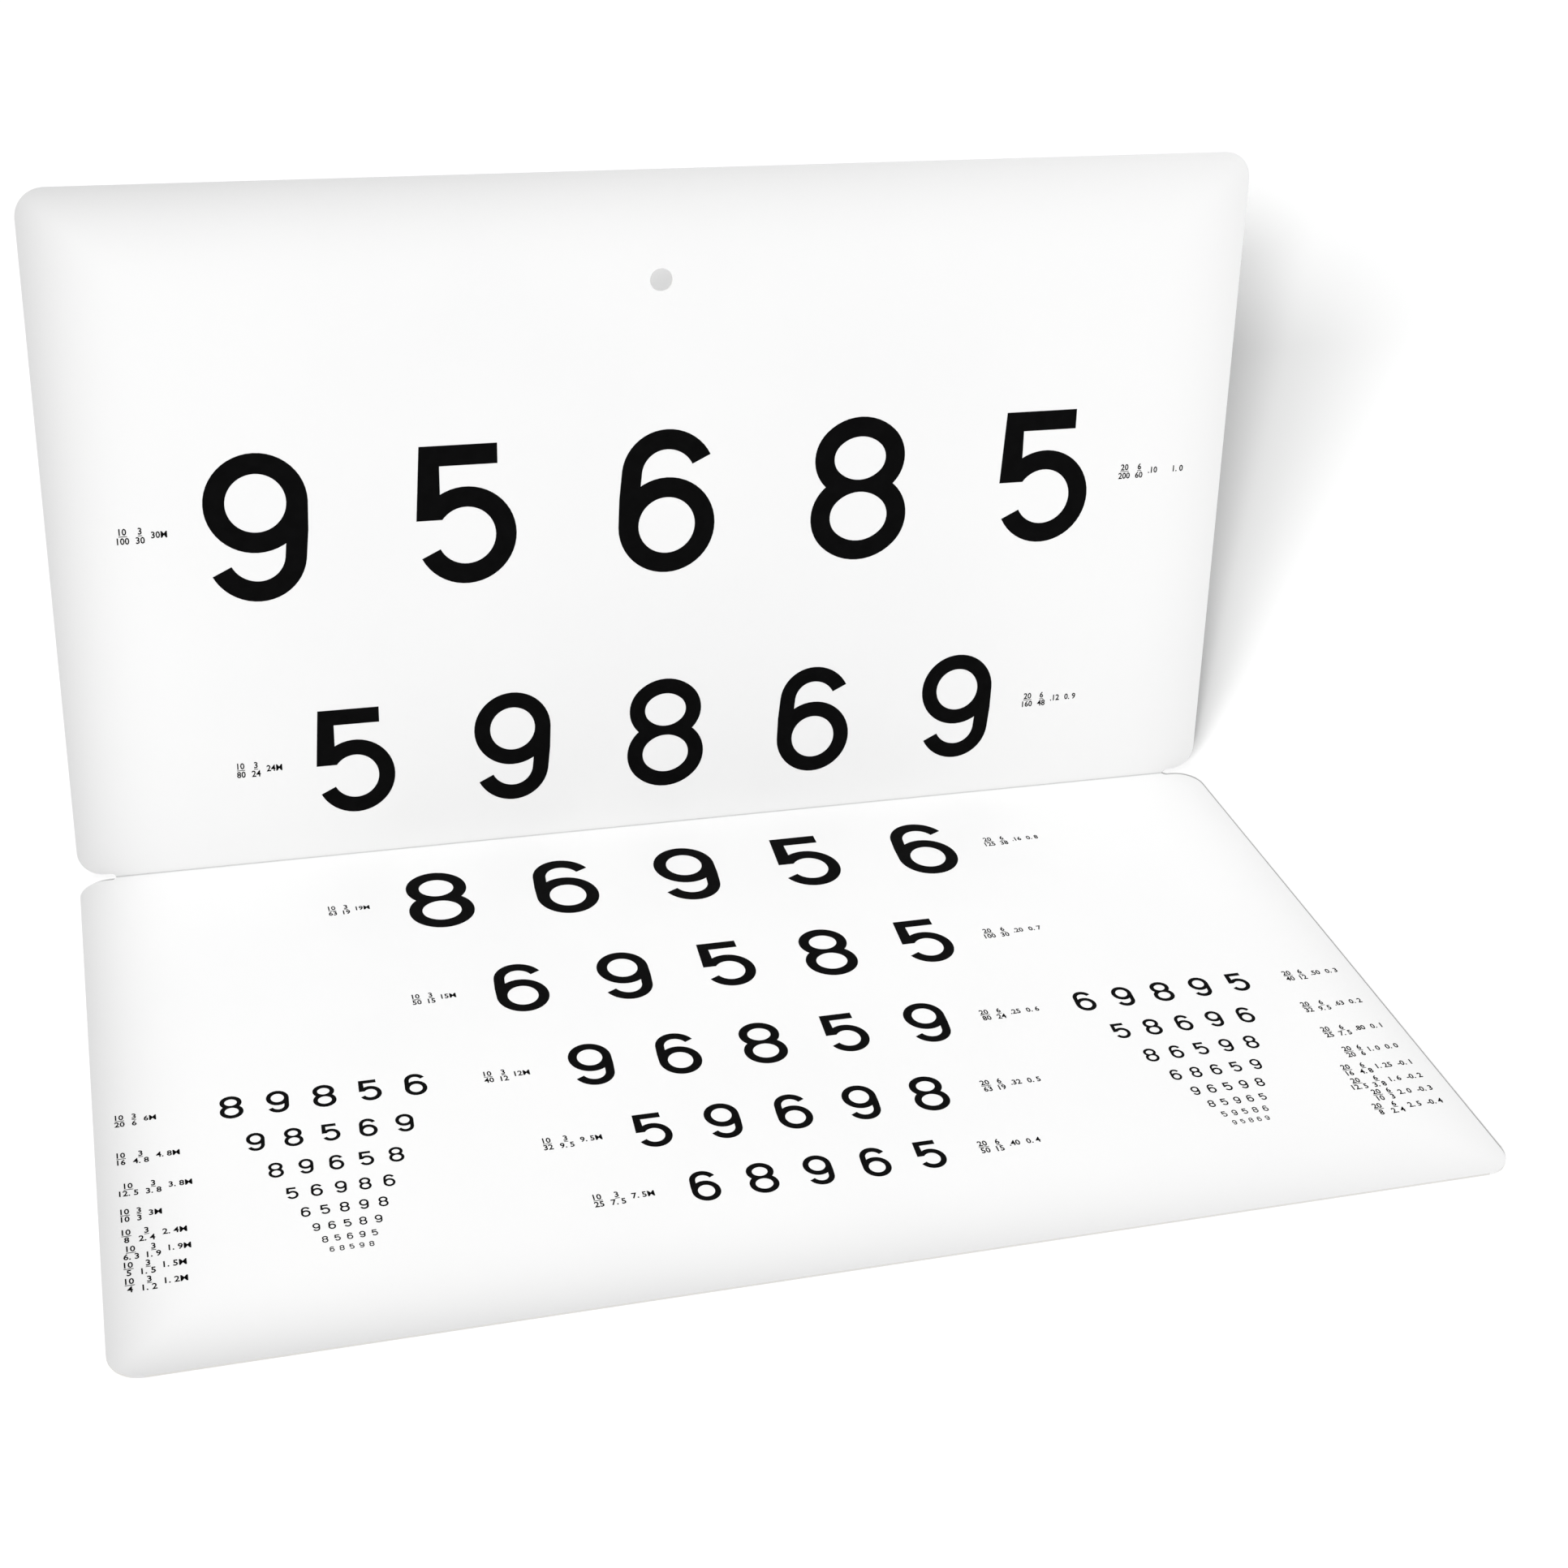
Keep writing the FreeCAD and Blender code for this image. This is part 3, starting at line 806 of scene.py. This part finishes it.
class CHART_OT_finishes(bpy.types.Operator):
    """Make the sheet's and the ink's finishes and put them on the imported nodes"""

    bl_idname = "chart.finishes"
    bl_label = "Finishes"

    def execute(self, context):
        settings = context.scene.chart_finish
        sheet = make_sheet_material(settings)
        ink = make_ink_material(settings)
        finishes = {"chart_sheet": sheet, "upper_digits": ink, "lower_digits": ink}
        for name, material in finishes.items():
            node = frame["nodes"][name]
            node.data.materials.clear()
            node.data.materials.append(material)
        return {"FINISHED"}


class CHART_OT_large_rows(bpy.types.Operator):
    """Print the large rows on both panels"""

    bl_idname = "chart.large_rows"
    bl_label = "Large Rows"

    def execute(self, context):
        settings = context.scene.chart_print
        numerals = make_numerals(settings.large_steps)
        upper = print_rows("upper_rows", numerals, UPPER_ROWS, 0, -settings.print_offset, True)
        finish_print(upper, "upper_digits")
        lower = print_rows(
            "lower_rows", numerals, LOWER_ROWS, len(UPPER_ROWS), -settings.print_offset, False)
        finish_print(lower, "lower_digits")
        remove_numerals(numerals)
        return {"FINISHED"}


class CHART_OT_small_rows(bpy.types.Operator):
    """Print the two blocks of small rows at the front of the lower panel"""

    bl_idname = "chart.small_rows"
    bl_label = "Small Rows"

    def execute(self, context):
        settings = context.scene.chart_print
        numerals = make_numerals(settings.small_steps)
        for name, rows, side in (
            ("left_block_rows", LEFT_BLOCK_ROWS, -1),
            ("right_block_rows", RIGHT_BLOCK_ROWS, 1),
        ):
            middle = side * settings.block_spacing / 2 - settings.print_offset
            finish_print(print_rows(name, numerals, rows, FIRST_BLOCK_ROW, middle, False))
        remove_numerals(numerals)
        return {"FINISHED"}


class CHART_OT_notes(bpy.types.Operator):
    """Print the equivalents of each row's letter size at both ends of the row"""

    bl_idname = "chart.notes"
    bl_label = "Notes"

    def execute(self, context):
        settings = context.scene.chart_print
        middles = row_middles(settings)
        groups = {"upper_notes": [], "left_notes": [], "right_notes": []}
        middle = math.inf
        for row in range(len(LETTER_SIZES)):
            upright = row < len(UPPER_ROWS)
            panel = panel_place(upright)
            if row < FIRST_BLOCK_ROW:
                left = print_note(left_entries(row), LEFT_NOTE_STARTS[row], middles[row], panel)
                right = print_note(right_entries(row), RIGHT_NOTE_STARTS[row], middles[row], panel)
            else:
                middle = min(middles[row], middle - settings.note_pitch)
                edge = HALF_WIDTH - NOTE_MARGIN
                left = print_note(left_entries(row), -edge, middle, panel)
                right = print_note(right_entries(row), edge, middle, panel, from_right=True)
            groups["upper_notes" if upright else "left_notes"] += left
            groups["upper_notes" if upright else "right_notes"] += right
        for name, parts in groups.items():
            finish_print(join_pieces(name, parts))
        return {"FINISHED"}


class CHART_OT_stage(bpy.types.Operator):
    """Set out the table top, the lamps and the camera"""

    bl_idname = "chart.stage"
    bl_label = "Stage"

    def execute(self, context):
        settings = context.scene.chart_stage
        deselect_all()
        bpy.ops.mesh.primitive_plane_add(size=settings.floor_size, location=FLOOR_MIDDLE)
        floor = context.object
        floor.name = "table_top"
        bpy.ops.object.transform_apply(location=True, rotation=False, scale=False)
        bpy.ops.object.mode_set(mode="EDIT")
        bpy.ops.mesh.subdivide(number_cuts=3)
        bpy.ops.object.mode_set(mode="OBJECT")
        floor.data.materials.append(make_floor_material(settings))
        make_room(settings)
        table_alone = bpy.data.collections.new("table_alone")
        table_alone.objects.link(floor)
        add_lamp("key_lamp", *KEY_LAMP, settings.key_strength)
        add_lamp("low_lamp", *LOW_LAMP, settings.low_strength, receivers=table_alone)
        add_lamp("left_lamp", *LEFT_LAMP, settings.left_strength, receivers=table_alone)

        forward = Vector(CAMERA_DIRECTION).normalized()
        level_right = forward.cross(Vector((0, 0, 1))).normalized()
        level_up = level_right.cross(forward)
        roll = math.radians(CAMERA_ROLL)
        right = math.cos(roll) * level_right + math.sin(roll) * level_up
        up = math.cos(roll) * level_up - math.sin(roll) * level_right
        bpy.ops.object.camera_add()
        camera = context.object
        camera.name = "photo_camera"
        camera.matrix_world = (
            Matrix.Translation(CAMERA_PLACE)
            @ Matrix((right, up, -forward)).transposed().to_4x4())
        camera.data.sensor_width = 36
        camera.data.lens = CAMERA_LENS
        camera.data.shift_x, camera.data.shift_y = CAMERA_SHIFT
        camera.data.clip_start = 0.01
        context.scene.camera = camera
        context.scene.view_settings.view_transform = "Standard"
        return {"FINISHED"}


class CHART_PT_panel(bpy.types.Panel):
    """Lists the steps of the chart"""

    bl_label = "Acuity Chart"
    bl_idname = "CHART_PT_panel"
    bl_space_type = "VIEW_3D"
    bl_region_type = "UI"
    bl_category = "Acuity Chart"

    def draw(self, context):
        scene = context.scene
        for settings in (scene.chart_print, scene.chart_finish, scene.chart_stage):
            box = self.layout.box()
            for name in settings.bl_rna.properties.keys():
                if name not in {"rna_type", "name"}:
                    box.prop(settings, name)
        for operator in OPERATORS:
            self.layout.operator(operator.bl_idname)


SETTINGS = (
    ("chart_print", ChartPrintSettings),
    ("chart_finish", ChartFinishSettings),
    ("chart_stage", ChartStageSettings),
)
OPERATORS = (
    CHART_OT_finishes, CHART_OT_large_rows, CHART_OT_small_rows, CHART_OT_notes, CHART_OT_stage)


def register():
    for name, group in SETTINGS:
        bpy.utils.register_class(group)
        setattr(bpy.types.Scene, name, PointerProperty(type=group))
    for operator in OPERATORS:
        bpy.utils.register_class(operator)
    bpy.utils.register_class(CHART_PT_panel)


def unregister():
    bpy.utils.unregister_class(CHART_PT_panel)
    for operator in reversed(OPERATORS):
        bpy.utils.unregister_class(operator)
    for name, group in reversed(SETTINGS):
        delattr(bpy.types.Scene, name)
        bpy.utils.unregister_class(group)


def main():
    register()
    bpy.ops.chart.finishes()
    bpy.ops.chart.large_rows()
    bpy.ops.chart.small_rows()
    bpy.ops.chart.notes()
    bpy.ops.chart.stage()


if __name__ == "__main__":
    main()
